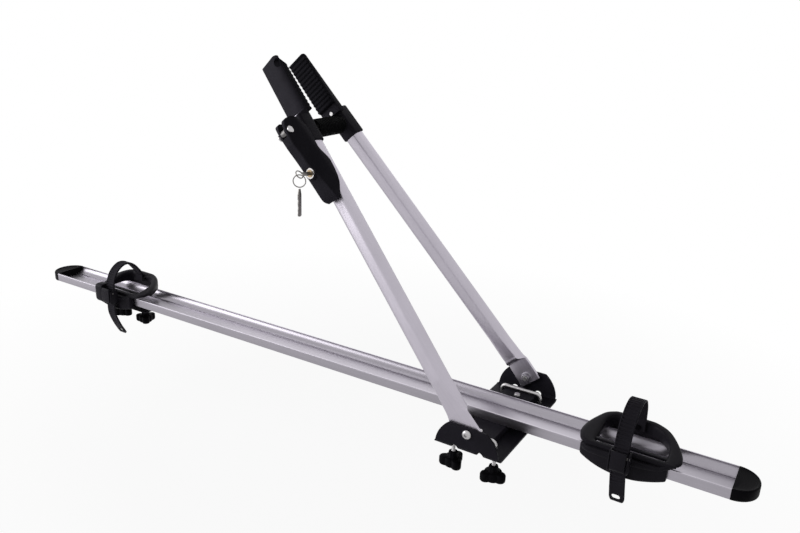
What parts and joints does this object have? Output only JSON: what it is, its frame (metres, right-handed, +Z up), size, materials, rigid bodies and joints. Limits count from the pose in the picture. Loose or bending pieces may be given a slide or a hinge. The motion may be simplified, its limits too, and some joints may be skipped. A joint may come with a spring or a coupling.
{
  "type": "roof mounted bike carrier",
  "caption": "Roof mounted bike carrier: an aluminium wheel rail on clamp feet with a folding frame that grips the bike by cam lever jaws, and strapped wheel holders.",
  "frame": {"origin": "middle of the rear roof bar seat, right below the frame pivot", "axes": "+X along the rail towards the lower end of the frame's lean, +Y across the carrier to the side without the lever, +Z up"},
  "size_m": [1.412, 0.2455, 0.5706],
  "materials": {
    "rail_alu": "satin anodised",
    "arm_alu": "satin anodised",
    "black_steel": "satin black paint",
    "zinc": "zinc plated",
    "spring_steel": "black coated wire",
    "jaw_plastic": "fine grained moulding",
    "knob_plastic": "matte moulding",
    "holder_plastic": "fine grained moulding",
    "rubber": "matte",
    "strap_rubber": "satin moulded",
    "lock_steel": "polished plate",
    "plug_brass": "satin",
    "key_steel": "nickel plated"
  },
  "bodies": {
    "base": {"rail_floor": "rail_alu", "near_rail_side": "rail_alu", "far_rail_side": "rail_alu", "front_cap": "knob_plastic", "rear_cap": "knob_plastic", "base_bracket": "black_steel", "bar_pad": "rubber", "pad_screws": "zinc", "rail_bolts": "zinc", "near_ubolt": "zinc", "far_ubolt": "zinc", "front_seat": "knob_plastic", "front_bolts": "zinc", "pivot_bolts": "zinc", "pivot_nuts": "zinc", "pivot_washers": "knob_plastic"},
    "frame": {"near_arm": "arm_alu", "far_foot": "arm_alu", "near_jaw": "jaw_plastic", "near_pad": "rubber", "near_pad_screws": "zinc", "clamp_spring": "spring_steel"},
    "far_side": {"far_arm": "arm_alu", "far_jaw": "jaw_plastic", "far_pad": "rubber", "far_pad_screws": "zinc"},
    "rod": {"clamp_rod": "zinc", "rod_nut": "zinc", "cam_pin": "zinc"},
    "lever": {"lever": "jaw_plastic", "lock_barrel": "lock_steel"},
    "lock": {"lock_plug": "plug_brass", "key": "key_steel"},
    "ring": {"key_ring": "key_steel"},
    "spare": {"spare_key": "key_steel"},
    "near_front_knob": {"near_knob_a": "knob_plastic"},
    "near_rear_knob": {"near_knob_b": "knob_plastic"},
    "far_front_knob": {"far_knob_a": "knob_plastic"},
    "far_rear_knob": {"far_knob_b": "knob_plastic"},
    "bar_strip": {"front_strip": "black_steel"},
    "strip_front_knob": {"front_knob_a": "knob_plastic"},
    "strip_rear_knob": {"front_knob_b": "knob_plastic"},
    "rear_cradle": {"rear_holder": "holder_plastic", "rear_strap": "strap_rubber", "rear_rivet": "knob_plastic", "rear_buckle": "jaw_plastic", "rear_pin": "zinc"},
    "rear_catch": {"rear_latch": "knob_plastic"},
    "front_cradle": {"front_holder": "holder_plastic", "front_strap": "strap_rubber", "front_rivet": "knob_plastic", "front_buckle": "jaw_plastic", "front_pin": "zinc"},
    "front_catch": {"front_latch": "knob_plastic"}
  },
  "joints": [
    {"name": "frame_fold", "type": "hinge", "parent": "base", "child": "frame", "pos_m": [0, 0, 0.031], "axis": [0, 1, 0], "range_deg": [-43, 49]},
    {"name": "far_arm_open", "type": "hinge", "parent": "frame", "child": "far_side", "pos_m": [-0.01706, 0.1057, 0.05062], "axis": [-0.7547, 0, -0.6561], "range_deg": [0, 1.65]},
    {"name": "rod_slide", "type": "slide", "parent": "frame", "child": "rod", "axis": [0, 1, 0], "range_m": [0, 0.0136]},
    {"name": "lever_swing", "type": "hinge", "parent": "rod", "child": "lever", "pos_m": [-0.33, -0.098, 0.41062], "axis": [-0.7547, 0, -0.6561], "range_deg": [0, 100]},
    {"name": "lock_turn", "type": "hinge", "parent": "lever", "child": "lock", "pos_m": [-0.28467, -0.09974, 0.35848], "axis": [0.0699, 0.9943, -0.0804], "range_deg": [0, 90]},
    {"name": "ring_swing", "type": "hinge", "parent": "lock", "child": "ring", "pos_m": [-0.28621, -0.12162, 0.36024], "axis": [0.848, 0.5299, 0], "range_deg": [-20, 20]},
    {"name": "spare_swing", "type": "hinge", "parent": "ring", "child": "spare", "pos_m": [-0.28621, -0.12162, 0.34174], "axis": [0.848, 0.5299, 0], "range_deg": [-25, 25]},
    {"name": "near_front_knob_spin", "type": "hinge", "parent": "base", "child": "near_front_knob", "pos_m": [-0.0325, -0.084, -0.02], "axis": [0, 0, 1], "continuous": true},
    {"name": "near_rear_knob_spin", "type": "hinge", "parent": "base", "child": "near_rear_knob", "pos_m": [0.0325, -0.084, -0.02], "axis": [0, 0, 1], "continuous": true},
    {"name": "far_front_knob_spin", "type": "hinge", "parent": "base", "child": "far_front_knob", "pos_m": [-0.0325, 0.084, -0.02], "axis": [0, 0, 1], "continuous": true},
    {"name": "far_rear_knob_spin", "type": "hinge", "parent": "base", "child": "far_rear_knob", "pos_m": [0.0325, 0.084, -0.02], "axis": [0, 0, 1], "continuous": true},
    {"name": "bar_strip_lift", "type": "slide", "parent": "base", "child": "bar_strip", "axis": [0, 0, 1], "range_m": [0, 0.006]},
    {"name": "strip_front_knob_spin", "type": "hinge", "parent": "base", "child": "strip_front_knob", "pos_m": [-0.85, 0, -0.015], "axis": [0, 0, 1], "continuous": true},
    {"name": "strip_rear_knob_spin", "type": "hinge", "parent": "base", "child": "strip_rear_knob", "pos_m": [-0.785, 0, -0.015], "axis": [0, 0, 1], "continuous": true},
    {"name": "rear_cradle_slide", "type": "slide", "parent": "base", "child": "rear_cradle", "axis": [1, 0, 0], "range_m": [-0.06, 0.05]},
    {"name": "rear_catch_open", "type": "hinge", "parent": "rear_cradle", "child": "rear_catch", "pos_m": [0.198, -0.0586, 0.0397], "axis": [-1, 0, 0], "range_deg": [0, 45], "stiffness_Nm_per_rad": 0.08},
    {"name": "front_cradle_slide", "type": "slide", "parent": "base", "child": "front_cradle", "axis": [1, 0, 0], "range_m": [-0.1, 0.08]},
    {"name": "front_catch_open", "type": "hinge", "parent": "front_cradle", "child": "front_catch", "pos_m": [-0.818, -0.0586, 0.0397], "axis": [-1, 0, 0], "range_deg": [0, 45], "stiffness_Nm_per_rad": 0.08}
  ],
  "couplings": [
    {"joint": "rod_slide", "follows": "lever_swing", "m_per_rad": 0.00764},
    {"joint": "far_arm_open", "follows": "lever_swing", "ratio": 0.016}
  ]
}
